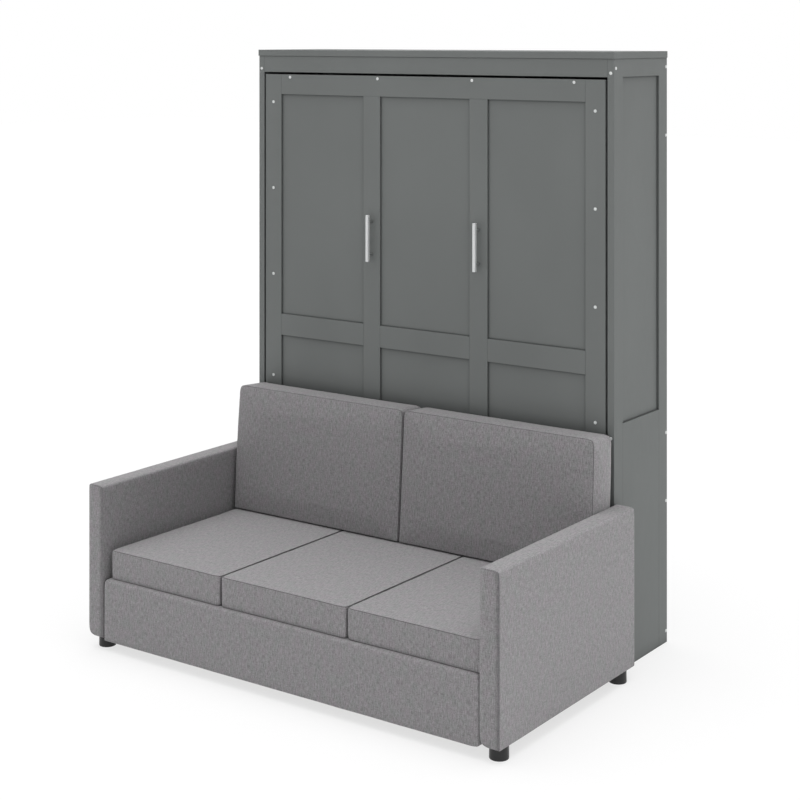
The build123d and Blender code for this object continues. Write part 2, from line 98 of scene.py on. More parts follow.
# Adds one shader or geometry node, and gives back the output that is asked for, or the node
def addNode(tree, kind, inputs=(), give=None, **settings):
    node = tree.nodes.new(kind)
    for key, value in settings.items():
        setattr(node, key, value)
    feed(tree, node, inputs)
    return node if give is None else node.outputs[give]


def newMaterial(name):
    material = bpy.data.materials.new(name)
    material.use_nodes = True
    return material, material.node_tree, material.node_tree.nodes["Principled BSDF"]


# Noise drawn out along one or more axes: sizes are the grain's size along each axis, in metres
def grain(tree, place, sizes, detail=2.0, rough=0.5):
    scaled = addNode(tree, "ShaderNodeVectorMath", (place, [1 / s for s in sizes]), 0, operation="MULTIPLY")
    return addNode(tree, "ShaderNodeTexNoise",
                   {"Vector": scaled, "Scale": 1.0, "Detail": detail, "Roughness": rough}, "Fac")


# Painted shade: a factor that falls from 1 in the open to the darkest one where the open share is down to the
# closed one
def shadeCreases(tree, reach, closed, darkest):
    openness = addNode(tree, "ShaderNodeAmbientOcclusion", {"Distance": reach}, "AO", samples=8)
    return addNode(tree, "ShaderNodeMapRange", (openness, closed, 1.0, darkest, 1.0), 0)


paint = {
    "colour": "#767978",
    "shadeSpread": 0.03,
    "cloudSize": (0.35, 0.35, 0.5),
    "roughness": 0.46,
    "roughnessSpread": 0.04,
    "wipeSize": (0.02, 0.02, 0.06),
    "surface": {"IOR": 1.46, "Specular IOR Level": 0.1},
    "peelSize": 0.0022,
    "peelBump": {"Distance": 0.00004, "Strength": 0.6},
    "creaseReach": 0.008,
    "creaseShade": 0.30,
    "hollowReach": 0.045,
    "hollowClosed": 0.3,
    "hollowShade": 0.75,
    "edgeRound": 0.0008,
    "edgeSegments": 2,
    "flatDegrees": 0.5,
}


# Satin paint, sprayed on board: nearly even, with a fine orange peel. Painted shade darkens it in the narrow
# seams between boards, and a little in hollows such as beside the handles.
def satinPaint(name):
    material, tree, shader = newMaterial(name)
    place = addNode(tree, "ShaderNodeTexCoord", give="Object")
    low, high = 1 - paint["shadeSpread"], 1 + paint["shadeSpread"]
    cloud = grain(tree, place, paint["cloudSize"])
    shade = addNode(tree, "ShaderNodeMapRange", (cloud, *noiseSpan, low, high), 0)
    # Painted shade in the narrow seams between boards and in hollows
    for darker in (shadeCreases(tree, paint["creaseReach"], 0.0, paint["creaseShade"]),
                   shadeCreases(tree, paint["hollowReach"], paint["hollowClosed"], paint["hollowShade"])):
        shade = addNode(tree, "ShaderNodeMath", (shade, darker), 0, operation="MULTIPLY")
    tint = addNode(tree, "ShaderNodeVectorMath", {0: linear(paint["colour"])[:3], "Scale": shade}, 0,
                   operation="SCALE")
    low, high = paint["roughness"] - paint["roughnessSpread"], paint["roughness"] + paint["roughnessSpread"]
    wipes = grain(tree, place, paint["wipeSize"])
    rough = addNode(tree, "ShaderNodeMapRange", (wipes, *noiseSpan, low, high), 0)
    peel = grain(tree, place, (paint["peelSize"],) * 3, detail=1.0)
    bump = addNode(tree, "ShaderNodeBump", {"Height": peel, **paint["peelBump"]}, "Normal")
    feed(tree, shader, {"Base Color": tint, "Roughness": rough, "Normal": bump, **paint["surface"]})
    return material


# Sizes of yarns are across and along the warp, and their shares are those of slubs, weft, threads and streaks
fabric = {
    "light": "#A9A7A9",
    "dark": "#5F5D5F",
    "warm": "#8B8489",
    "cool": "#828583",
    "slubSize": (0.0038, 0.017),
    "threadSize": (0.0028, 0.0042),
    "streakSize": (0.0055, 0.050),
    "yarnShares": (0.45, 0.2, 0.4, 0.2),
    "toneSpan": (0.49, 0.76),
    "patchSize": (0.030, 0.045),
    "patchShare": 0.5,
    "weaveBump": {"Distance": 0.0004, "Strength": 0.7},
    # Painted light and shade by which way the cloth faces, and a painted highlight down the arm fronts' left
    # edges
    "paintedLight": 0.09,
    "edgeHighlightStrength": 0.22,
    "surface": {"Roughness": 0.92, "Specular IOR Level": 0.18, "Sheen Weight": 0.30, "Sheen Roughness": 0.5},
    "seamColour": "#262627",
    "seamShade": 0.8,
    "seamCore": 0.0006,
    "seamReach": 0.0027,
    "creaseReach": 0.014,
    "creaseShade": 0.68,
}


# Heather weave of mixed grey yarns: short slubs along the warp, a crossing weft and longer faint streaks.
# Real yarns are about a millimetre wide, too fine to show from here, so they are drawn three times as wide.
def heatherWeave(name):
    material, tree, shader = newMaterial(name)
    uv = addNode(tree, "ShaderNodeUVMap", give=0, uv_map="weave")
    slubs = grain(tree, uv, (*fabric["slubSize"], 1), detail=1.0)
    weft = grain(tree, uv, (*fabric["slubSize"][::-1], 1), detail=1.0)
    threads = grain(tree, uv, (*fabric["threadSize"], 1), detail=1.0)
    streaks = grain(tree, uv, (*fabric["streakSize"], 1))
    total = 0.0
    for part, share in zip((slubs, weft, threads, streaks), fabric["yarnShares"]):
        total = addNode(tree, "ShaderNodeMath", (part, share, total), 0, operation="MULTIPLY_ADD")
    tone = addNode(tree, "ShaderNodeMapRange", (total, *fabric["toneSpan"], 0.0, 1.0), 0)
    cloth = addNode(tree, "ShaderNodeMix", {0: tone, 6: linear(fabric["dark"]), 7: linear(fabric["light"])}, 2,
                    data_type="RGBA")
    patch = grain(tree, uv, (*fabric["patchSize"], 1))
    patch = addNode(tree, "ShaderNodeMapRange", (patch, *noiseCore, 0.0, 1.0), 0)
    tint = addNode(tree, "ShaderNodeMix", {0: patch, 6: linear(fabric["warm"]), 7: linear(fabric["cool"])}, 2,
                   data_type="RGBA")
    cloth = addNode(tree, "ShaderNodeMix", {0: fabric["patchShare"], 6: cloth, 7: tint}, 2, data_type="RGBA")
    # Painted light and shade: cloth facing out at the ends is painted lighter, and cloth facing in is painted
    # darker, as the light falls
    given = addNode(tree, "ShaderNodeTexCoord").outputs
    facing = addNode(tree, "ShaderNodeSeparateXYZ", (given["Normal"],), "X")
    end = addNode(tree, "ShaderNodeSeparateXYZ", (given["Object"],), "X")
    end = addNode(tree, "ShaderNodeMath", (end,), 0, operation="SIGN")
    outer = addNode(tree, "ShaderNodeMath", (facing, end), 0, operation="MULTIPLY")
    paintedLight = addNode(tree, "ShaderNodeMath", (outer, fabric["paintedLight"], 1.0), 0, operation="MULTIPLY_ADD")
    # Painted highlight down the left edge of an arm's front
    edgeHighlight = addNode(tree, "ShaderNodeAttribute", give="Fac", attribute_name="paintedEdgeHighlight")
    paintedLight = addNode(tree, "ShaderNodeMath", (edgeHighlight, fabric["edgeHighlightStrength"], paintedLight), 0, operation="MULTIPLY_ADD")
    # Dark seam lines, and on the arm fronts painted shade along the groove
    gap = addNode(tree, "ShaderNodeAttribute", give="Fac", attribute_name="seamGap")
    seam = addNode(tree, "ShaderNodeMapRange", (gap, fabric["seamCore"], fabric["seamReach"],
                                                fabric["seamShade"], 0.0), 0)
    cloth = addNode(tree, "ShaderNodeMix", {0: seam, 6: cloth, 7: linear(fabric["seamColour"])}, 2,
                    data_type="RGBA")
    # Painted shade in the creases between cushions and parts
    crease = shadeCreases(tree, fabric["creaseReach"], 0.0, fabric["creaseShade"])
    shade = addNode(tree, "ShaderNodeMath", (crease, paintedLight), 0, operation="MULTIPLY")
    cloth = addNode(tree, "ShaderNodeVectorMath", {0: cloth, "Scale": shade}, 0, operation="SCALE")
    raised = addNode(tree, "ShaderNodeMath", (slubs, threads), 0, operation="ADD")
    bump = addNode(tree, "ShaderNodeBump", {"Height": raised, **fabric["weaveBump"]}, "Normal")
    feed(tree, shader, {"Base Color": cloth, "Normal": bump, **fabric["surface"]})
    return material


knitting = {
    "stitchSize": (0.0012, 0.0020),
    "cloudSize": (0.05, 0.05),
    "toneSpan": (0.7, 1.3),
    "knitBump": {"Distance": 0.0004, "Strength": 0.6},
    "surface": {"Roughness": 0.88, "Specular IOR Level": 0.2, "Sheen Weight": 0.15},
    "creaseReach": 0.03,
    "creaseClosed": 0.6,
    "creaseShade": 0.7,
}


# Knitted mattress ticking, with a fine raised pattern, and painted shade down in the quilting
def ticking(name, colour, shadow):
    material, tree, shader = newMaterial(name)
    uv = addNode(tree, "ShaderNodeUVMap", give=0, uv_map="weave")
    knit = grain(tree, uv, (*knitting["stitchSize"], 1), detail=1.0)
    cloud = grain(tree, uv, (*knitting["cloudSize"], 1))
    total = addNode(tree, "ShaderNodeMath", (knit, cloud), 0, operation="ADD")
    tone = addNode(tree, "ShaderNodeMapRange", (total, *knitting["toneSpan"], 0.0, 1.0), 0)
    cloth = addNode(tree, "ShaderNodeMix", {0: tone, 6: linear(shadow), 7: linear(colour)}, 2,
                    data_type="RGBA")
    # Painted shade down in the quilting
    shade = shadeCreases(tree, knitting["creaseReach"], knitting["creaseClosed"], knitting["creaseShade"])
    cloth = addNode(tree, "ShaderNodeVectorMath", {0: cloth, "Scale": shade}, 0, operation="SCALE")
    bump = addNode(tree, "ShaderNodeBump", {"Height": knit, **knitting["knitBump"]}, "Normal")
    feed(tree, shader, {"Base Color": cloth, "Normal": bump, **knitting["surface"]})
    return material


timber = {
    "length": 0.5,
    "width": 0.012,
    "detail": 4.0,
    "detailRoughness": 0.6,
    "poreScale": 0.12,
    "poreShare": 0.2,
    "poreBump": {"Distance": 0.0001, "Strength": 0.5},
    "surface": {"Specular IOR Level": 0.3},
}


# Plywood or faced board: long grain along one axis, with a fine pore
def woodBoard(name, lightColour, darkColour, roughness, along):
    material, tree, shader = newMaterial(name)
    place = addNode(tree, "ShaderNodeTexCoord", give="Object")
    sizes = [timber["length" if axis == along else "width"] for axis in "xyz"]
    bands = grain(tree, place, sizes, timber["detail"], timber["detailRoughness"])
    pores = grain(tree, place, [s * timber["poreScale"] for s in sizes], detail=1.0)
    fine = addNode(tree, "ShaderNodeMath", (pores, timber["poreShare"]), 0, operation="MULTIPLY")
    total = addNode(tree, "ShaderNodeMath", (bands, 1 - timber["poreShare"], fine), 0,
                    operation="MULTIPLY_ADD")
    tone = addNode(tree, "ShaderNodeMapRange", (total, *noiseCore, 0.0, 1.0), 0)
    wood = addNode(tree, "ShaderNodeMix", {0: tone, 6: linear(darkColour), 7: linear(lightColour)}, 2,
                   data_type="RGBA")
    bump = addNode(tree, "ShaderNodeBump", {"Height": pores, **timber["poreBump"]}, "Normal")
    feed(tree, shader, {"Base Color": wood, "Roughness": roughness, "Normal": bump, **timber["surface"]})
    return material


brushing = {
    "lineWidth": 0.0006,
    "lineLength": 0.05,
    "plainSize": 0.004,
    "roughnessSpread": 0.07,
    "shadeSpread": 0.06,
    "lineBump": {"Distance": 0.00003, "Strength": 0.5},
}


# Metal with fine brush lines along one axis, or a plain finish if along is left out
def metal(name, colour, roughness, along=None, metallic=1.0):
    material, tree, shader = newMaterial(name)
    place = addNode(tree, "ShaderNodeTexCoord", give="Object")
    sizes = [brushing["lineLength" if axis == along else "lineWidth"] for axis in "xyz"]
    lines = grain(tree, place, sizes if along else (brushing["plainSize"],) * 3)
    low, high = roughness - brushing["roughnessSpread"], roughness + brushing["roughnessSpread"]
    rough = addNode(tree, "ShaderNodeMapRange", (lines, *noiseSpan, low, high), 0)
    low, high = 1 - brushing["shadeSpread"], 1 + brushing["shadeSpread"]
    shade = addNode(tree, "ShaderNodeMapRange", (lines, *noiseSpan, low, high), 0)
    tint = addNode(tree, "ShaderNodeVectorMath", {0: linear(colour)[:3], "Scale": shade}, 0, operation="SCALE")
    bump = addNode(tree, "ShaderNodeBump", {"Height": lines, **brushing["lineBump"]}, "Normal")
    feed(tree, shader, {"Base Color": tint, "Roughness": rough, "Metallic": metallic, "Normal": bump})
    return material


moulding = {
    "sparkSize": 0.0008,
    "sparkBump": {"Distance": 0.00006, "Strength": 0.5},
    "cloudSize": 0.03,
    "shadeSpread": 0.07,
    "surface": {"Specular IOR Level": 0.4},
}


# Moulded plastic with a light spark-eroded grain
def mouldedPlastic(name, colour, roughness):
    material, tree, shader = newMaterial(name)
    place = addNode(tree, "ShaderNodeTexCoord", give="Object")
    spark = grain(tree, place, (moulding["sparkSize"],) * 3, detail=1.0)
    cloud = grain(tree, place, (moulding["cloudSize"],) * 3)
    low, high = 1 - moulding["shadeSpread"], 1 + moulding["shadeSpread"]
    shade = addNode(tree, "ShaderNodeMapRange", (cloud, *noiseSpan, low, high), 0)
    tint = addNode(tree, "ShaderNodeVectorMath", {0: linear(colour)[:3], "Scale": shade}, 0, operation="SCALE")
    bump = addNode(tree, "ShaderNodeBump", {"Height": spark, **moulding["sparkBump"]}, "Normal")
    feed(tree, shader, {"Base Color": tint, "Roughness": roughness, "Normal": bump, **moulding["surface"]})
    return material


webbing = {
    "ribSize": (0.004, 0.004, 0.0012),
    "ribBump": {"Distance": 0.0003, "Strength": 0.8},
    "surface": {"Roughness": 0.8},
}


# Woven webbing with ribs along its length
def webbingWeave(name, colour, ribColour):
    material, tree, shader = newMaterial(name)
    place = addNode(tree, "ShaderNodeTexCoord", give="Object")
    ribs = grain(tree, place, webbing["ribSize"], detail=1.0)
    tone = addNode(tree, "ShaderNodeMapRange", (ribs, *noiseCore, 0.0, 1.0), 0)
    cloth = addNode(tree, "ShaderNodeMix", {0: tone, 6: linear(colour), 7: linear(ribColour)}, 2,
                    data_type="RGBA")
    bump = addNode(tree, "ShaderNodeBump", {"Height": ribs, **webbing["ribBump"]}, "Normal")
    feed(tree, shader, {"Base Color": cloth, "Normal": bump, **webbing["surface"]})
    return material


greyPaint = satinPaint("satinGreyPaint")
greyBoard = woodBoard("greyFacedBoard", "#7E8180", "#767978", 0.55, "z")
plywoodAcross = woodBoard("birchPlywood", "#D9BE92", "#C3A273", 0.6, "x")
plywoodDeep = woodBoard("birchPlywoodDeep", "#D9BE92", "#C3A273", 0.6, "y")
sofaCloth = heatherWeave("greyHeatherWeave")
mattressCloth = ticking("mattressTicking", "#D5D2CA", "#C6C2B8")
mattressTape = ticking("mattressTape", "#B1AEA7", "#98958E")
blackWebbing = webbingWeave("blackWebbing", "#1B1B1C", "#2E2E30")
blackPlastic = mouldedPlastic("blackPlastic", "#252526", 0.38)
paleCap = mouldedPlastic("paleScrewCap", "#DDDFDE", 0.35)
blackSteel = metal("blackPowderCoat", "#262627", 0.5, metallic=0.0)
platedSteel = metal("platedSteel", "#C4C6C8", 0.22)
postPaint = mouldedPlastic("greyPostPaint", paint["colour"], paint["roughness"])
handleNickel = metal("satinNickel", "#DEE0E0", 0.5, along="z", metallic=0.2)

paintedBoards = ("top_cap", "header_rail", "kick_board", "left_side_frame", "right_side_frame",
                 "left_side_inset_panel", "right_side_inset_panel", "left_side_lower_board",
                 "right_side_lower_board", "bed_platform", "front_left_stile", "front_right_stile",
                 "front_top_rail", "front_bottom_rail", "front_left_mullion", "front_right_mullion",
                 "front_mid_rails")
handles = ("left_handle", "right_handle")
dressing = (
    (greyPaint, paintedBoards),
    (greyBoard, ("back_panel", "back_top_rail", "back_middle_rail", "back_bottom_rail", "bed_head_board",
                 "bed_foot_board", "left_bed_side_rail", "right_bed_side_rail")),
    (plywoodAcross, ("sofa_base_rail", "seat_deck")),
    (plywoodDeep, ("deck_rails", "left_arm_core", "right_arm_core")),
    (blackSteel, ("left_side_plate", "right_side_plate", "left_hinge_bracket", "right_hinge_bracket",
                  "left_swing_leg", "right_swing_leg", "left_strut_tube", "right_strut_tube")),
    (platedSteel, ("strut_studs", "leg_pivot_pins", "left_strut_rod", "right_strut_rod")),
    (blackPlastic, ("sofa_feet", "strap_buckles", "centre_support_leg")),
    (handleNickel, handles),
    (blackWebbing, ("mattress_straps",)),
)
for material, names in dressing:
    for name in names:
        nodes[name].data.materials.clear()
        nodes[name].data.materials.append(material)

handleBar = {
    "depth": 0.0125,
}

# Only the bar of a handle is brushed: its posts are painted like the door
for name in handles:
    mesh = nodes[name].data
    mesh.materials.append(postPaint)
    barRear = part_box(name)[0].y + handleBar["depth"]
    for face in mesh.polygons:
        face.material_index = int(max(mesh.vertices[v].co.y for v in face.vertices) > barRear)
print("materials made and CAD pieces dressed")


# Makes what the modifiers give the object's own mesh
def settle(piece):
    made = bpy.data.meshes.new_from_object(piece.evaluated_get(bpy.context.evaluated_depsgraph_get()))
    piece.modifiers.clear()
    old, piece.data = piece.data, made
    made.name = piece.name
    bpy.data.meshes.remove(old)


# Boards are sanded at their edges before they are painted: a merged copy of each takes a small round
flat = radians(paint["flatDegrees"])
for name in paintedBoards:
    mesh = nodes[name].data.copy()
    mesh.name = name + "Sanded"
    shape = bmesh.new()
    shape.from_mesh(mesh)
    bmesh.ops.remove_doubles(shape, verts=shape.verts, dist=touching)
    bmesh.ops.dissolve_limit(shape, angle_limit=flat, verts=shape.verts, edges=shape.edges)
    bmesh.ops.recalc_face_normals(shape, faces=shape.faces)
    shape.to_mesh(mesh)
    shape.free()
    board = bpy.data.objects.new(name + "Sanded", mesh)
    scene.collection.objects.link(board)
    rounded = board.modifiers.new("sandedEdge", "BEVEL")
    rounded.width = paint["edgeRound"]
    rounded.segments = paint["edgeSegments"]
    rounded.limit_method = "ANGLE"
    settle(board)
    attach(board, body_of(nodes[name])[0])
    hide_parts(name)
print("painted boards sanded")


# A node tree with the geometry and one named input for each size
def shapeTree(name, sizes):
    tree = bpy.data.node_groups.new(name, "GeometryNodeTree")
    tree.interface.new_socket("Geometry", in_out="INPUT", socket_type="NodeSocketGeometry")
    for key in sizes:
        tree.interface.new_socket(key, in_out="INPUT", socket_type="NodeSocketFloat")
    tree.interface.new_socket("Geometry", in_out="OUTPUT", socket_type="NodeSocketGeometry")
    return tree, addNode(tree, "NodeGroupInput").outputs


def endTree(tree, shape, material):
    real = addNode(tree, "GeometryNodeRealizeInstances", (shape,), 0)
    dressed = addNode(tree, "GeometryNodeSetMaterial", {"Geometry": real, "Material": material}, 0)
    addNode(tree, "NodeGroupOutput", (dressed,))


# Each named input takes the size of that name
def runTree(piece, tree, sizes):
    maker = piece.modifiers.new(tree.name, "NODES")
    maker.node_group = tree
    for item in tree.interface.items_tree:
        if item.in_out == "INPUT" and item.name in sizes:
            maker[item.identifier] = sizes[item.name]
    settle(piece)


# Points that carry a facing direction each
def startPoints(name, spots, facings):
    mesh = bpy.data.meshes.new(name)
    mesh.from_pydata([tuple(p) for p in spots], [], [])
    layer = mesh.attributes.new("facing", "FLOAT_VECTOR", "POINT")
    layer.data.foreach_set("vector", np.asarray(facings, np.float32).ravel())
    piece = bpy.data.objects.new(name, mesh)
    scene.collection.objects.link(piece)
    return piece


# A round head for every point, standing on it and turned to its facing. Its top falls off late to a soft rim.
def headTree(name, sides, material, rimPower=4.0):
    tree, given = shapeTree(name, ("radius", "height", "softness"))
    head = addNode(tree, "GeometryNodeMeshCylinder",
                   {"Vertices": sides, "Side Segments": 2, "Fill Segments": 3,
                    "Radius": given["radius"], "Depth": given["height"]}, "Mesh")
    spot = addNode(tree, "GeometryNodeInputPosition", give=0)
    level = addNode(tree, "ShaderNodeSeparateXYZ", (spot,), "Z")
    flat = addNode(tree, "ShaderNodeVectorMath", (spot, (1, 1, 0)), 0, operation="MULTIPLY")
    reach = addNode(tree, "ShaderNodeVectorMath", (flat,), "Value", operation="LENGTH")
    reach = addNode(tree, "ShaderNodeMath", (reach, given["radius"]), 0, operation="DIVIDE")
    rim = addNode(tree, "ShaderNodeMath", (reach, rimPower), 0, operation="POWER")
    onTop = addNode(tree, "ShaderNodeMath", (level, touching), 0, operation="GREATER_THAN")
    rim = addNode(tree, "ShaderNodeMath", (rim, onTop), 0, operation="MULTIPLY")
    drop = addNode(tree, "ShaderNodeMath", (rim, given["softness"]), 0, operation="MULTIPLY")
    half = addNode(tree, "ShaderNodeMath", (given["height"], 0.5), 0, operation="MULTIPLY")
    lift = addNode(tree, "ShaderNodeMath", (half, drop), 0, operation="SUBTRACT")
    offset = addNode(tree, "ShaderNodeCombineXYZ", {"Z": lift}, 0)
    shaped = addNode(tree, "GeometryNodeSetPosition", {"Geometry": head, "Offset": offset}, 0)
    facing = addNode(tree, "GeometryNodeInputNamedAttribute", {"Name": "facing"}, "Attribute",
                     data_type="FLOAT_VECTOR")
    turn = addNode(tree, "FunctionNodeAlignRotationToVector", {"Vector": facing}, 0, axis="Z")
    each = addNode(tree, "GeometryNodeInstanceOnPoints", {"Points": given["Geometry"], "Instance": shaped,
                                                          "Rotation": turn}, 0)
    endTree(tree, each, material)
    return tree


# Feet and facings of the loose discs in a CAD node: each disc is thin along its facing
def discPlaces(name):
    shape = bmesh.new()
    shape.from_mesh(nodes[name].data)
    bmesh.ops.remove_doubles(shape, verts=shape.verts, dist=touching)
    seen, feet, facings = set(), [], []
    for start in shape.verts:
        if start in seen:
            continue
        island, edge = [], [start]
        seen.add(start)
        while edge:
            v = edge.pop()
            island.append(v.co.copy())
            for e in v.link_edges:
                other = e.other_vert(v)
                if other not in seen:
                    seen.add(other)
                    edge.append(other)
        spots = np.array(island)
        low, high = spots.min(0), spots.max(0)
        axis = int(np.argmin(high - low))
        foot = (low + high) / 2
        way = -1.0 if axis == 1 else float(np.sign(foot[0]))  # forward, or out to the disc's own side
        foot[axis] = low[axis] if way > 0 else high[axis]
        facing = np.zeros(3)
        facing[axis] = way
        feet.append(foot)
        facings.append(facing)
    shape.free()
    return feet, facings


screwCover = {
    "radius": 0.0062,
    "height": 0.0016,
    "softness": 0.0009,
    "sides": 20,
}

# Moulded covers over the screws, one tree for the cabinet's and for the folding front's
coverTree = headTree("screwCovers", screwCover["sides"], paleCap)
for name, node, body in (("cabinetScrewCovers", "cabinet_screw_covers", "cabinet"),
                         ("frontScrewCovers", "front_screw_covers", "bed")):
    covers = startPoints(name, *discPlaces(node))
    runTree(covers, coverTree, screwCover)
    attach(covers, body)
    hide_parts(node)
print("screw covers made")


# Positions of grid lines across a length: close together near the ends, evenly spaced between them
def gridLines(length, edge, spacing, edgeShares=(0.0, 0.2, 0.42, 0.7, 1.0)):
    near = [edge * share for share in edgeShares]
    inner = length - 2 * edge
    count = max(1, round(inner / spacing))
    middle = [edge + inner * i / count for i in range(1, count)]
    return np.array(near + middle + [length - g for g in reversed(near)])


# A rounded block's surface in its own axes: across (u), deep (v) and up (w).
# The outline lies in u and w, with its own radius at each corner. The two caps face -v and +v.
def paddedBlock(across, deep, up, corners, edge, spacing, sewn=True):
    us = gridLines(across, edge, spacing) - across / 2
    vs = gridLines(deep, edge, spacing)
    ws = gridLines(up, edge, spacing) - up / 2
    lastU, lastV, lastW = len(us) - 1, len(vs) - 1, len(ws) - 1
    found, keys, faces = {}, [], []

    def corner(*key):
        if key not in found:
            found[key] = len(keys)
            keys.append(key)
        return found[key]

    for i in range(lastU):
        for k in range(lastW):
            for j, way in ((0, 1), (lastV, -1)):
                ring = [corner(i, j, k), corner(i + 1, j, k), corner(i + 1, j, k + 1), corner(i, j, k + 1)]
                faces.append(ring[::way])
    for j in range(lastV):
        for i in range(lastU):
            for k, way in ((0, -1), (lastW, 1)):
                ring = [corner(i, j, k), corner(i + 1, j, k), corner(i + 1, j + 1, k), corner(i, j + 1, k)]
                faces.append(ring[::way])
        for k in range(lastW):
            for i, way in ((0, 1), (lastU, -1)):
                ring = [corner(i, j, k), corner(i, j, k + 1), corner(i, j + 1, k + 1), corner(i, j + 1, k)]
                faces.append(ring[::way])

    keys = np.array(keys)
    u, v, w = us[keys[:, 0]], vs[keys[:, 1]], ws[keys[:, 2]]
    halfU, halfW = across / 2, up / 2
    onCap = (keys[:, 1] == 0) | (keys[:, 1] == lastV)
    inset = np.where(onCap, np.minimum(halfU - abs(u), halfW - abs(w)), 0.0)
    toCap = np.minimum(v, deep - v)
    seamGap = np.where(onCap, inset, toCap) if sewn else np.ones(len(keys))
    # The edge between cap and band turns from a square corner into an arc
    t, s = np.clip(edge - inset, 0, None), np.clip(edge - toCap, 0, None)
    reach = np.hypot(t, s)
    ratio = np.where(reach > 0, np.maximum(t, s) / np.where(reach > 0, reach, 1), 1.0)
    onEdge = (t > 0) & (s > 0)
    step = np.where(onEdge, edge - t * ratio, inset) - inset
    newToCap = np.where(onEdge, edge - s * ratio, toCap)
    v = np.where(v < deep / 2, newToCap, deep - newToCap)
    # The outline's square corners turn into arcs too
    radius = np.choose((u > 0) * 1 + (w > 0) * 2, corners)
    du, dw = abs(u) - (halfU - radius), abs(w) - (halfW - radius)
    inCorner = (du > 0) & (dw > 0)
    rho = np.where(inCorner, np.maximum(du, dw), 1.0)
    shrink = (rho - step) / np.where(inCorner, np.hypot(du, dw), 1.0)
    nearU = (halfU - abs(u)) < (halfW - abs(w))
    sizeU = np.where(inCorner, halfU - radius + du * shrink, abs(u) - np.where(nearU, step, 0))
    sizeW = np.where(inCorner, halfW - radius + dw * shrink, abs(w) - np.where(nearU, 0, step))
    points = np.stack([np.sign(u) * sizeU, v, np.sign(w) * sizeW], 1)
    return points, faces, seamGap, keys[:, 1] == 0, keys[:, 1] == lastV


# Smooth hill over a cap: one at its middle and nothing at its outline
def hill(points, across, up, power=2.4):
    a = np.clip(abs(points[:, 0]) / (across / 2), 0, 1)
    b = np.clip(abs(points[:, 2]) / (up / 2), 0, 1)
    return (1 - a ** power) * (1 - b ** power)


# The sides draw in between the corners
def drawIn(points, across, up, pull):
    a = points[:, 0] / (across / 2)
    b = points[:, 2] / (up / 2)
    points[:, 0] *= 1 - (pull / (across / 2)) * (1 - np.clip(b, -1, 1) ** 2)
    points[:, 2] *= 1 - (pull / (up / 2)) * (1 - np.clip(a, -1, 1) ** 2)


def setAttribute(piece, name, values):
    layer = piece.data.attributes.new(name, "FLOAT", "POINT")
    layer.data.foreach_set("value", np.asarray(values, np.float32))


def readAttribute(piece, name):
    values = np.empty(len(piece.data.vertices), np.float32)
    piece.data.attributes[name].data.foreach_get("value", values)
    return values


# A smooth piece whose points know how far they are from the nearest seam
def newPiece(name, points, faces, seamGap, material):
    mesh = bpy.data.meshes.new(name)
    mesh.from_pydata([tuple(p) for p in points], [], faces)
    mesh.update()
    piece = bpy.data.objects.new(name, mesh)
    scene.collection.objects.link(piece)
    mesh.materials.append(material)
    mesh.shade_smooth()
    setAttribute(piece, "seamGap", seamGap)
    return piece


# Places or normals as an array, with a row for each point
def readRows(rows, key):
    values = np.empty(len(rows) * 3, np.float32)
    rows.foreach_get(key, values)
    return values.reshape(-1, 3).astype(float)


def places(piece):
    return readRows(piece.data.vertices, "co")


def setPlaces(piece, points):
    piece.data.vertices.foreach_set("co", np.asarray(points, np.float32).ravel())
    piece.data.update()


swelling = {
    "quality": 6,
    "mass": 0.2,
    "stretchStiffness": 25,
    "shearStiffness": 10,
    "bendingStiffness": 4,
    "airDamping": 4,
    "frames": 12,
}


# Swells the cover under pressure with the seams held, and keeps each point within a cap of its start
def inflate(piece, pins, pressure, cap):
    start = places(piece)
    group = piece.vertex_groups.new(name="held")
    group.add([int(i) for i in np.nonzero(pins)[0]], 1.0, "REPLACE")
    cloth = piece.modifiers.new("cloth", "CLOTH")
    settings = cloth.settings
    settings.quality = swelling["quality"]
    settings.mass = swelling["mass"]
    settings.tension_stiffness = settings.compression_stiffness = swelling["stretchStiffness"]
    settings.shear_stiffness = swelling["shearStiffness"]
    settings.bending_stiffness = swelling["bendingStiffness"]
    settings.air_damping = swelling["airDamping"]
    settings.use_pressure = True
    settings.uniform_pressure_force = pressure
    settings.effector_weights.gravity = 0
    settings.vertex_group_mass = "held"
    cloth.collision_settings.use_collision = False
    cloth.collision_settings.use_self_collision = False
    cloth.point_cache.frame_start, cloth.point_cache.frame_end = 1, swelling["frames"]
    for number in range(1, swelling["frames"] + 1):
        scene.frame_set(number)
    moved = places(piece.evaluated_get(bpy.context.evaluated_depsgraph_get())) - start
    piece.modifiers.remove(cloth)
    piece.vertex_groups.clear()
    scene.frame_set(1)
    far = np.linalg.norm(moved, axis=1, keepdims=True)
    print(piece.name, "swelled up to", round(float(far.max()) * 1000, 1), "mm")
    moved *= np.where(far > 0, cap * np.tanh(far / cap) / np.where(far > 0, far, 1), 0)
    setPlaces(piece, start + moved)


def subdivide(piece):
    finer = piece.modifiers.new("finer", "SUBSURF")
    finer.levels = finer.render_levels = 1
    settle(piece)


sewing = {
    "seamDepth": 0.0012,
    "seamWidth": 0.0014,
    "puckerPitch": 42,
    "finePitch": 95,
    "fineShare": 0.5,
    "puckerReach": 0.016,
    "wavePitch": 9,
    "waveHeight": 0.0005,
    "waveReach": 0.02,
}


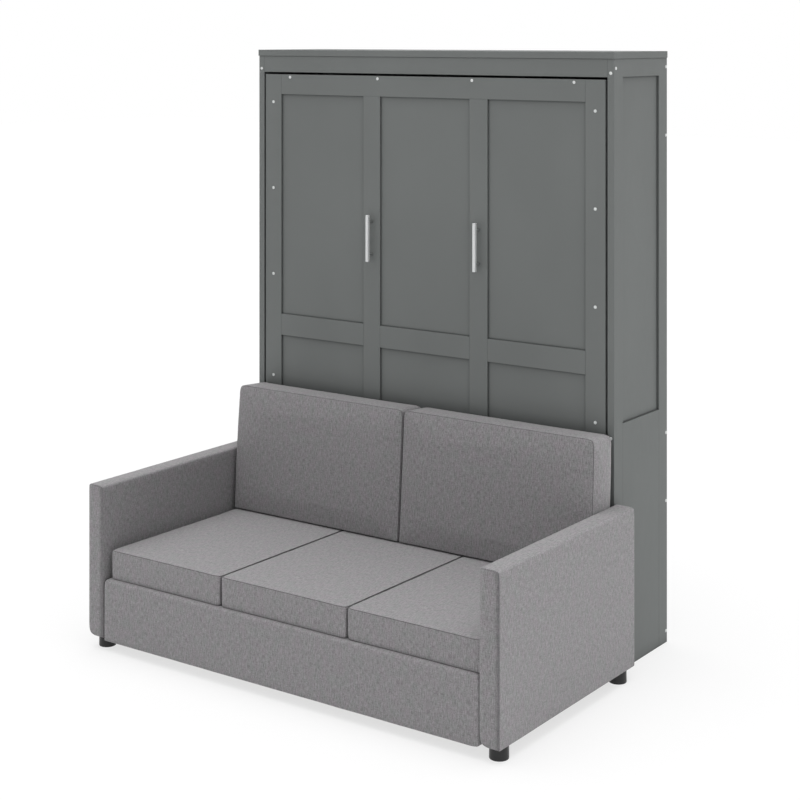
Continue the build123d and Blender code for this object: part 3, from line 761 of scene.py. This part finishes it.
# Seams sink, the cloth beside them puckers a little and the open cloth is a little wavy
def sewSeams(piece, pucker):
    points, outward = places(piece), readRows(piece.data.vertex_normals, "vector")
    gap = readAttribute(piece, "seamGap")
    ripple = np.array([noise.noise(Vector(p) * sewing["puckerPitch"])
                       + sewing["fineShare"] * noise.noise(Vector(p) * sewing["finePitch"]) for p in points])
    wave = np.array([noise.noise(Vector(p) * sewing["wavePitch"]) for p in points])
    shift = -sewing["seamDepth"] * np.exp(-(gap / sewing["seamWidth"]) ** 2)
    shift += pucker * ripple * np.exp(-gap / sewing["puckerReach"])
    shift += sewing["waveHeight"] * wave * np.clip(gap / sewing["waveReach"], 0, 1)
    setPlaces(piece, points + outward * shift[:, None])


# Cloth coordinates in metres: the second one runs along the warp. Yarns don't run on round an edge.
def mapWeave(piece, clothShift=0.37):
    mesh = piece.data
    points = places(piece)
    uv = mesh.uv_layers.new(name="weave")
    values = np.empty((len(mesh.loops), 2), np.float32)
    for face in mesh.polygons:
        n = [abs(c) for c in face.normal]
        axis = n.index(max(n))
        first, second = ((1, 2), (0, 2), (0, 1))[axis]
        for loop in face.loop_indices:
            p = points[mesh.loops[loop].vertex_index]
            values[loop] = (p[first] + clothShift * axis, p[second])
    uv.data.foreach_set("uv", values.ravel())


standing = ((1, 0, 0), (0, 1, 0), (0, 0, 1))  # a block's caps face forward and back
lying = ((1, 0, 0), (0, 0, 1), (0, 1, 0))  # they face down and up, which makes its axes left-handed


# Turns a piece from its own axes into the row frame
def putInFrame(piece, origin, axes):
    setPlaces(piece, places(piece) @ np.array(axes, float) + np.array(origin, float))


def finishCushion(piece, body, node):
    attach(piece, body)
    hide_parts(*([node] if isinstance(node, str) else node))


# The photo shows the covers' edges a little beside the solids': seats, arms and base share these
coverEdges = {
    "armWiden": {"left": 0.004, "right": 0.0065},
    "baseLowTop": 0.004,
}

seatCushion = {
    "corner": 0.020,
    "edge": 0.009,
    "crown": 0.004,
    "sewnCrown": 0.2,
    "lowFront": 0.002,
    "lowRear": 0.006,
    "pull": 0.0015,
    "spacing": 0.015,
    "sink": 0.006,
    "jointShift": -0.001,
    "pressure": 3.0,
    "swellCap": 0.0016,
    "pucker": 0.0005,
}

# Seat cushions: caps face down and up, with a seam round each. Their weight flattens the lower edge.
for side in ("left", "middle", "right"):
    low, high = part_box("seat_cushion_" + side)
    low.x += seatCushion["jointShift"] if side != "left" else 0
    high.x += seatCushion["jointShift"] if side != "right" else -coverEdges["armWiden"]["right"]
    across, upY, deep = high.x - low.x, high.y - low.y, high.z - low.z - seatCushion["crown"]
    points, faces, gap, bottom, top = paddedBlock(across, deep, upY, (seatCushion["corner"],) * 4,
                                                  seatCushion["edge"], seatCushion["spacing"])
    drawIn(points, across, upY, seatCushion["pull"])
    rise = hill(points, across, upY) * seatCushion["crown"]
    points[:, 1] += np.where(top, rise * seatCushion["sewnCrown"], 0)
    faces = [ring[::-1] for ring in faces]  # its axes are left-handed
    piece = newPiece("seatCushion" + side.capitalize(), points, faces, gap, sofaCloth)
    inflate(piece, (gap < onSeam) | bottom, seatCushion["pressure"], seatCushion["swellCap"])
    subdivide(piece)
    sewSeams(piece, seatCushion["pucker"])
    points = places(piece)
    rearShare = np.clip(points[:, 2] / upY + 0.5, 0, 1)
    lower = seatCushion["lowFront"] + (seatCushion["lowRear"] - seatCushion["lowFront"]) * rearShare
    points[:, 1] -= seatCushion["sink"] * (1 - points[:, 1] / deep) + lower * points[:, 1] / deep
    points[:, 0] = np.clip(points[:, 0], -across / 2, across / 2)
    points[:, 1] = np.clip(points[:, 1], -coverEdges["baseLowTop"], high.z - low.z)
    setPlaces(piece, points)
    mapWeave(piece)
    putInFrame(piece, ((low.x + high.x) / 2, (low.y + high.y) / 2, low.z), lying)
    finishCushion(piece, "cabinet", "seat_cushion_" + side)
print("seat cushions made")

backCushion = {
    "height": 0.4895,
    "thickness": 0.146,
    "reach": 0.182,
    "leanDegrees": 4.0,
    "topCorner": 0.022,
    "bottomCorner": 0.008,
    "edge": 0.009,
    "frontCrown": 0.008,
    "rearCrown": 0.003,
    "sewnCrown": 0.4,
    "swell": 0.005,
    "endSwell": 0.002,
    "swellPower": 6,
    "joinOverlap": 0.0008,
    "jointShift": -0.003,
    "sink": 0.012,
    "bedIn": 0.005,
    "spacing": 0.015,
    "pressure": 3.0,
    "swellCap": 0.009,
    "pucker": 0.0006,
}

# Back cushions: they lean on the folding front. The outer side swells out, the side that meets the other
# cushion is pressed flat, and the foot is flattened where it beds into the seat.
lean = radians(backCushion["leanDegrees"])
backward, upward = Vector((0, cos(lean), -sin(lean))), Vector((0, sin(lean), cos(lean)))
for side, outward in (("left", -1), ("right", 1)):
    low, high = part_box("back_cushion_" + side)
    low.x += backCushion["jointShift"] if side == "right" else 0
    high.x += backCushion["jointShift"] if side == "left" else 0
    across, up = high.x - low.x, backCushion["height"]
    deep = backCushion["thickness"] - backCushion["frontCrown"] - backCushion["rearCrown"]
    corners = (backCushion["bottomCorner"],) * 2 + (backCushion["topCorner"],) * 2
    points, faces, gap, front, rear = paddedBlock(across, deep, up, corners, backCushion["edge"],
                                                  backCushion["spacing"])
    rise = hill(points, across, up)
    points[:, 1] += np.where(rear, rise * backCushion["rearCrown"], 0)
    points[:, 1] -= np.where(front, rise * backCushion["frontCrown"] * backCushion["sewnCrown"], 0)
    piece = newPiece("backCushion" + side.capitalize(), points, faces, gap, sofaCloth)
    inflate(piece, (gap < onSeam) | rear, backCushion["pressure"], backCushion["swellCap"])
    subdivide(piece)
    sewSeams(piece, backCushion["pucker"])
    points = places(piece)
    sideShare = np.clip(points[:, 0] * outward / (across / 2), 0, 1) ** backCushion["swellPower"]
    tall = np.clip(1 - (points[:, 2] / (up / 2)) ** 2, 0, 1)
    points[:, 0] += outward * sideShare * (backCushion["swell"] * tall + backCushion["endSwell"])
    joined = across / 2 + backCushion["joinOverlap"]
    points[:, 0] = np.clip(points[:, 0], -joined, None) if outward > 0 else np.clip(points[:, 0], None, joined)
    points[:, 1] = np.clip(points[:, 1], -backCushion["frontCrown"], deep + backCushion["rearCrown"])
    points[:, 2] -= backCushion["sink"] * (0.5 - points[:, 2] / up)
    setPlaces(piece, points)
    mapWeave(piece)
    foot = Vector(((low.x + high.x) / 2, frontY - backCushion["reach"], low.z))
    origin = foot + backward * backCushion["frontCrown"] + upward * (up / 2)
    putInFrame(piece, origin, ((1, 0, 0), backward, upward))
    points = places(piece)
    points[:, 2] = np.maximum(points[:, 2], low.z - backCushion["bedIn"])
    setPlaces(piece, points)
    finishCushion(piece, side + "_back_cushion", "back_cushion_" + side)
print("back cushions made")

# The corners of a cover are in the order bottom left, bottom right, top left and top right
armCover = {
    "corners": (0.030, 0.004, 0.010, 0.015),
    "edge": 0.006,
    # Width of the painted highlight down the front's left edge
    "edgeHighlightWidth": 0.005,
    "topShare": 3.0,
    "seamInset": 0.0045,
    # The groove's painted shade: how dark it is on the groove and how fast it fades beside it
    "grooveShadeFade": 0.0017,
    "grooveShadeSpread": 0.065,
    "grooveDepth": 0.0016,
    "grooveWidth": 0.004,
    "spacing": 0.016,
    "pucker": 0.0003,
}

# Arm covers. A soft groove runs just inside the top and the right side of the front, with painted shade along
# it, and a painted highlight runs down the front's left edge.
for side in ("left", "right"):
    low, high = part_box(side + "_arm_cover")
    low.x -= coverEdges["armWiden"][side]
    across, deep, up = high - low
    points, faces, gap, front, _ = paddedBlock(across, deep, up, armCover["corners"], armCover["edge"],
                                               armCover["spacing"], sewn=False)
    inside = np.minimum(across / 2 - points[:, 0], armCover["topShare"] * (up / 2 - points[:, 2]))
    fromGroove = abs(inside - armCover["seamInset"])
    # Painted shade along the groove
    gap = np.where(front, armCover["grooveShadeFade"] + armCover["grooveShadeSpread"] * fromGroove, gap)
    # Painted highlight down the front's left edge
    paintedEdgeHighlight = np.where(front, np.exp(-(across / 2 + points[:, 0]) / armCover["edgeHighlightWidth"]), 0.0)
    piece = newPiece(side + "ArmCover", points, faces, gap, sofaCloth)
    setAttribute(piece, "fromGroove", np.where(front, fromGroove, 1.0))
    setAttribute(piece, "paintedEdgeHighlight", paintedEdgeHighlight)
    subdivide(piece)
    groove = np.exp(-(readAttribute(piece, "fromGroove") / armCover["grooveWidth"]) ** 2)
    sewSeams(piece, armCover["pucker"])
    points = places(piece)
    points[:, 1] += armCover["grooveDepth"] * groove
    points[:, 0] = np.clip(points[:, 0], -across / 2, across / 2)
    setPlaces(piece, points)
    mapWeave(piece)
    putInFrame(piece, ((low.x + high.x) / 2, low.y, (low.z + high.z) / 2), standing)
    finishCushion(piece, "cabinet", [side + "_arm_cover", side + "_arm_core"])

baseCover = {
    "corners": (0.006, 0.024, 0.024, 0.024),
    "edge": 0.013,
    "lowBottom": 0.003,
    "spacing": 0.016,
    "pucker": 0.0003,
}

# Base cover: a long padded panel between the arms
low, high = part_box("sofa_base_cover")
low.z, high.z = low.z - baseCover["lowBottom"], high.z - coverEdges["baseLowTop"]
high.x -= coverEdges["armWiden"]["right"]
points, faces, gap, *_ = paddedBlock(*(high - low), baseCover["corners"], baseCover["edge"],
                                     baseCover["spacing"], sewn=False)
piece = newPiece("baseFrontCover", points, faces, gap, sofaCloth)
subdivide(piece)
sewSeams(piece, baseCover["pucker"])
mapWeave(piece)
putInFrame(piece, ((low.x + high.x) / 2, low.y, (low.z + high.z) / 2), standing)
finishCushion(piece, "cabinet", ["sofa_base_cover", "sofa_base_rail"])

deckCloth = {
    "thickness": 0.0012,
    "corner": 0.004,
    "edge": 0.0004,
    "spacing": 0.05,
}

# Platform cloth covers the deck, which shows beside the left seat cushion
low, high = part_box("seat_deck")
points, faces, gap, *_ = paddedBlock(high.x - low.x, deckCloth["thickness"], high.y - low.y,
                                     (deckCloth["corner"],) * 4, deckCloth["edge"],
                                     deckCloth["spacing"], sewn=False)
faces = [ring[::-1] for ring in faces]  # its axes are left-handed
piece = newPiece("deckCloth", points, faces, gap, sofaCloth)
mapWeave(piece)
putInFrame(piece, ((low.x + high.x) / 2, (low.y + high.y) / 2, high.z), lying)
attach(piece, "cabinet")
print("arm and base covers and platform cloth made")

mattress = {
    "corner": 0.06,
    "edge": 0.016,
    "spacing": 0.022,
    "tapeWidth": 0.009,
    "quilting": {"pitch": 0.19, "depth": 0.007, "grooveWidth": 0.020, "grooveFade": 0.1},
    "quiltedFrom": 0.004,
    "quiltedFully": 0.0005,
}

# Mattress: knitted ticking with a taped seam round the top and bottom
low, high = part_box("mattress")
across, deep, up = high - low
points, faces, gap, *_ = paddedBlock(across, deep, up, (mattress["corner"],) * 4, mattress["edge"],
                                     mattress["spacing"])
piece = newPiece("quiltedMattress", points, faces, gap, mattressCloth)
subdivide(piece)

# Quilting: rows of stitching cross the sleeping side in diamonds and draw it in. One groove's width from the
# stitching, the fade is what is left of its depth.
tree, given = shapeTree("quilting", mattress["quilting"])
spot = addNode(tree, "GeometryNodeInputPosition", give=0)
spot = addNode(tree, "ShaderNodeSeparateXYZ", (spot,)).outputs
grooves = []
for operation in ("ADD", "SUBTRACT"):
    along = addNode(tree, "ShaderNodeMath", (spot["X"], spot["Z"]), 0, operation=operation)
    along = addNode(tree, "ShaderNodeMath", (along, given["pitch"]), 0, operation="DIVIDE")
    off = addNode(tree, "ShaderNodeMath", (along,), 0, operation="FRACT")
    off = addNode(tree, "ShaderNodeMath", (off, 0.5), 0, operation="SUBTRACT")
    off = addNode(tree, "ShaderNodeMath", (off,), 0, operation="ABSOLUTE")
    off = addNode(tree, "ShaderNodeMath", (off, given["pitch"]), 0, operation="MULTIPLY")
    off = addNode(tree, "ShaderNodeMath", (off, given["grooveWidth"]), 0, operation="DIVIDE")
    off = addNode(tree, "ShaderNodeMath", (off, off), 0, operation="MULTIPLY")
    grooves.append(addNode(tree, "ShaderNodeMath", (given["grooveFade"], off), 0, operation="POWER"))
deepest = addNode(tree, "ShaderNodeMath", grooves, 0, operation="MAXIMUM")
deepest = addNode(tree, "ShaderNodeMath", (deepest, given["depth"]), 0, operation="MULTIPLY")
inward = addNode(tree, "ShaderNodeMapRange", (spot["Y"], deep - mattress["quiltedFrom"],
                                              deep - mattress["quiltedFully"], 0.0, -1.0), 0)
shift = addNode(tree, "ShaderNodeMath", (deepest, inward), 0, operation="MULTIPLY")
offset = addNode(tree, "ShaderNodeCombineXYZ", {"Y": shift}, 0)
quilted = addNode(tree, "GeometryNodeSetPosition", {"Geometry": given["Geometry"], "Offset": offset}, 0)
endTree(tree, quilted, mattressCloth)
runTree(piece, tree, mattress["quilting"])
piece.data.materials.append(mattressTape)
gap = readAttribute(piece, "seamGap")
for face in piece.data.polygons:
    face.material_index = int(max(gap[v] for v in face.vertices) < mattress["tapeWidth"])
mapWeave(piece)
putInFrame(piece, ((low.x + high.x) / 2, low.y, (low.z + high.z) / 2), standing)
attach(piece, "bed")
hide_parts("mattress")
print("mattress made")

boltHead = {
    "radius": 0.0055,
    "height": 0.0032,
    "softness": 0.0014,
    "sides": 16,
    "plate": 0.003,
    "inset": 0.011,
    "heightShares": (0.55, 0.93),
}

# Pan-head bolts hold the pivot plates to the cabinet's sides, clear of the bed's brackets
spots, facings = [], []
for side, way in (("left", -1), ("right", 1)):
    low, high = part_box(side + "_side_plate")
    inner = (high.x if way > 0 else low.x) - way * boltHead["plate"]
    for share in boltHead["heightShares"]:
        for y in (low.y + boltHead["inset"], high.y - boltHead["inset"]):
            spots.append((inner, y, low.z + share * (high.z - low.z)))
            facings.append((-way, 0, 0))
bolts = startPoints("sidePlateBolts", spots, facings)
runTree(bolts, headTree("boltHeads", boltHead["sides"], platedSteel), boltHead)
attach(bolts, "cabinet")
print("bolts made")

light = {
    "skyStrength": 0.45,
    "overheadStrength": 4.3,
    "overheadFocus": 8.0,
    "sideStrength": 0.12,
    "floorColour": "#E9E9E9",
    "floorReach": 30,
    "shadowShare": 0.3,
}
pureWhite = (1, 1, 1, 1)


# The picture's white background is white to the camera and in reflections, and lights nothing
def showsBackground(tree):
    rays = addNode(tree, "ShaderNodeLightPath").outputs
    either = addNode(tree, "ShaderNodeMath", (rays["Is Camera Ray"], rays["Is Glossy Ray"]), 0,
                     operation="MAXIMUM")
    return addNode(tree, "ShaderNodeMath", (either, rays["Is Transmission Ray"]), 0, operation="MAXIMUM")


# A soft light from above, a weaker one from the right and an even one from all round
sky = bpy.data.worlds.new("paleSky")
scene.world = sky
sky.use_nodes = True
tree = sky.node_tree
tree.nodes.clear()
way = addNode(tree, "ShaderNodeTexCoord", give="Generated")
way = addNode(tree, "ShaderNodeSeparateXYZ", (way,)).outputs
overhead = addNode(tree, "ShaderNodeMath", (way["Z"], 0.0), 0, operation="MAXIMUM")
overhead = addNode(tree, "ShaderNodeMath", (overhead, light["overheadFocus"]), 0, operation="POWER")
fromRight = addNode(tree, "ShaderNodeMath", (way["X"], 0.0), 0, operation="MAXIMUM")
strength = light["skyStrength"]
for part, share in ((fromRight, light["sideStrength"]), (overhead, light["overheadStrength"])):
    strength = addNode(tree, "ShaderNodeMath", (part, share, strength), 0, operation="MULTIPLY_ADD")
glow = addNode(tree, "ShaderNodeBackground", {"Color": pureWhite, "Strength": strength}, 0)
white = addNode(tree, "ShaderNodeBackground", {"Color": pureWhite, "Strength": 1.0}, 0)
either = addNode(tree, "ShaderNodeMixShader", (showsBackground(tree), glow, white), 0)
addNode(tree, "ShaderNodeOutputWorld", {"Surface": either})

# The floor takes only a faint shadow
floorMesh = bpy.data.meshes.new("studioFloor")
far = light["floorReach"]
floorMesh.from_pydata([(-far, -far, 0), (far, -far, 0), (far, far, 0), (-far, far, 0)], [], [(0, 1, 2, 3)])
studioFloor = bpy.data.objects.new("studioFloor", floorMesh)
scene.collection.objects.link(studioFloor)
floorMaterial = bpy.data.materials.new("paleFloor")
floorMaterial.use_nodes = True
tree = floorMaterial.node_tree
tree.nodes.clear()
matt = addNode(tree, "ShaderNodeBsdfDiffuse", {"Color": linear(light["floorColour"])}, 0)
white = addNode(tree, "ShaderNodeEmission", {"Color": pureWhite, "Strength": 1.0}, 0)
plain = addNode(tree, "ShaderNodeMath", (showsBackground(tree), 1 - light["shadowShare"]), 0,
                operation="MULTIPLY")
either = addNode(tree, "ShaderNodeMixShader", (plain, matt, white), 0)
addNode(tree, "ShaderNodeOutputMaterial", {"Surface": either})
floorMesh.materials.append(floorMaterial)

camera = {
    "place": (3.7721420, -5.2017078, 2.2948117),
    "yawRadians": 0.6202456,
    "focalPixels": 1710.253,
    "horizonRow": 35.503,
    "pictureSide": 800,
    "clipEnd": 100,
}

# Camera. The photo's upright edges are parallel, as with a level camera and a shifted lens.
# The shift is a shear of this one view, so that other views of the scene stay centred.
eye = bpy.data.objects.new("photoCamera", bpy.data.cameras.new("photoCamera"))
scene.collection.objects.link(eye)
scene.camera = eye
yaw = camera["yawRadians"]
right, up = Vector((cos(yaw), sin(yaw), 0)), Vector((0, 0, 1))
drop = (camera["pictureSide"] / 2 - camera["horizonRow"]) / camera["focalPixels"]
back = Vector((sin(yaw), -cos(yaw), drop))
eye.data.lens = eye.data.sensor_width * camera["focalPixels"] / camera["pictureSide"] * back.length
shear = Matrix.Translation(camera["place"]) @ Matrix((right, up, back)).transposed().to_4x4()
mount = bpy.data.objects.new("cameraMount", None)
scene.collection.objects.link(mount)
eye.parent = mount
eye.matrix_parent_inverse = shear
eye.data.clip_end = camera["clipEnd"]

scene.view_settings.view_transform = "Standard"
scene.view_settings.look = "None"

print("scene ready")
